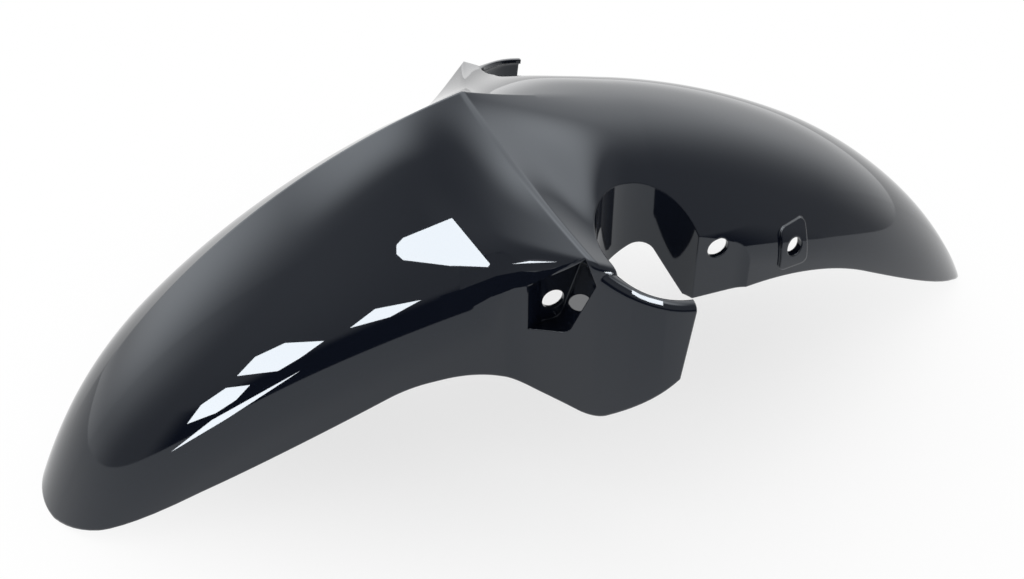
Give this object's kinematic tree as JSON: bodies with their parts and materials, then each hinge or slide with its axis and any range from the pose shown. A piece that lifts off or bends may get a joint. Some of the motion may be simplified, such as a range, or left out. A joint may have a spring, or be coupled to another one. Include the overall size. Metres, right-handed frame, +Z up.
{
  "type": "motorcycle front mudguard",
  "caption": "Moulded plastic motorcycle front mudguard: an arched wheel cover with a V-shaped crease, wings around the fork legs, bolt pockets and raised stay pads.",
  "frame": {"origin": "on the ground that the nose and tail tips stand on, midway between the tips and on the plane of symmetry", "axes": "+X points forward to the nose, +Y to the rider's left, +Z up"},
  "size_m": [0.6402, 0.271, 0.222],
  "materials": {
    "shell": "high gloss black"
  },
  "bodies": {
    "root": {"front_mudguard": "shell"}
  },
  "joints": []
}
